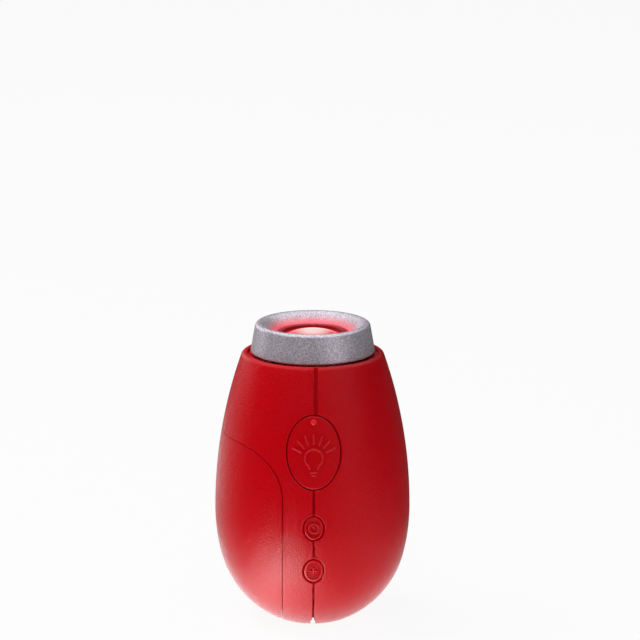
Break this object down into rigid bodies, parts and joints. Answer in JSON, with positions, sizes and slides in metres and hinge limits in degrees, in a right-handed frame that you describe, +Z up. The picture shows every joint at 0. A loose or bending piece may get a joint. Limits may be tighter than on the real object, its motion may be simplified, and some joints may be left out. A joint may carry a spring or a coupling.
{
  "type": "projection alarm clock",
  "caption": "Egg-shaped pocket alarm clock that projects the time, with a turning focus collar round the lens on top, front push buttons and a battery cover that comes off sideways.",
  "frame": {"origin": "centre of the flat foot, on the surface it stands on", "axes": "+Z up along the lens axis, -Y towards the buttons, -X towards the battery door"},
  "size_m": [0.038, 0.038, 0.0588],
  "materials": {
    "case_red": "satin moulded plastic with a fine spark texture",
    "button_red": "satin moulded plastic",
    "collar_silver": "plastic painted with fine silver flake",
    "carrier_clear_red": "smooth moulded plastic, tinted red",
    "lens_clear": "polished clear acrylic",
    "black_plastic": "matt black moulding",
    "lamp_red": "clear red epoxy",
    "display_glass": "thin glass cell with polariser",
    "tinned_wire": "tinned",
    "flex_film": "amber film",
    "socket_cream": "plain moulding",
    "board_green": "solder mask",
    "black_resin": "cured epoxy",
    "switch_grey": "plain moulding",
    "steel": "nickel plated",
    "contact_metal": "plated spring strip",
    "brass": "rolled sheet",
    "ceramic_white": "silvered ceramic",
    "wire_red": "insulation",
    "wire_black": "insulation"
  },
  "bodies": {
    "case": {"case_screws": "steel", "chip_resistor_1": "black_resin", "chip_resistor_2": "black_resin", "chip_resistor_3": "black_resin", "clock_chip": "black_resin", "coin_cell": "steel", "condenser_lens": "lens_clear", "flex_socket": "socket_cream", "lamp_house": "black_plastic", "lcd_flex": "flex_film", "lcd_mask": "black_plastic", "lcd_panel": "display_glass", "led_lamp": "lamp_red", "led_lead_1": "tinned_wire", "led_lead_2": "tinned_wire", "left_shell": "case_red", "main_board": "board_green", "mode_switch": "switch_grey", "negative_contact": "contact_metal", "optical_tube": "black_plastic", "positive_contact": "contact_metal", "project_switch": "switch_grey", "quartz_crystal": "steel", "right_shell": "case_red", "set_switch": "switch_grey", "sounder_ceramic": "ceramic_white", "sounder_disc": "brass", "sounder_wire_1": "wire_red", "sounder_wire_2": "wire_black", "strap_pin": "steel"},
    "battery_door": {"battery_door": "case_red"},
    "focus_ring": {"focus_ring": "collar_silver"},
    "lens_carrier": {"lens_carrier": "carrier_clear_red", "cam_pins": "steel", "projection_lens": "lens_clear", "lens_retainer": "black_plastic"},
    "project_button": {"project_button": "button_red", "project_plunger": "switch_grey"},
    "mode_button": {"mode_button": "button_red", "mode_plunger": "switch_grey"},
    "set_button": {"set_button": "button_red", "set_plunger": "switch_grey"}
  },
  "joints": [
    {"name": "focus_turn", "type": "hinge", "parent": "case", "child": "focus_ring", "pos_m": [0, 0, 0.0536], "axis": [0, 0, 1], "range_deg": [-50, 30]},
    {"name": "focus_lift", "type": "slide", "parent": "case", "child": "lens_carrier", "axis": [0, 0, 1], "range_m": [-0.00112, 0.00067]},
    {"name": "project_press", "type": "slide", "parent": "case", "child": "project_button", "axis": [0, 1, 0], "range_m": [0, 0.0006], "stiffness_N_per_m": 1500, "springref_m": -0.0002},
    {"name": "mode_press", "type": "slide", "parent": "case", "child": "mode_button", "axis": [0, 1, 0], "range_m": [0, 0.0006], "stiffness_N_per_m": 1500, "springref_m": -0.0002},
    {"name": "set_press", "type": "slide", "parent": "case", "child": "set_button", "axis": [0, 1, 0], "range_m": [0, 0.0006], "stiffness_N_per_m": 1500, "springref_m": -0.0002},
    {"name": "door_off", "type": "slide", "parent": "case", "child": "battery_door", "axis": [-1, 0, 0], "range_m": [0, 0.025]}
  ],
  "couplings": [
    {"joint": "focus_turn", "follows": "focus_lift", "rad_per_m": 775.79}
  ]
}
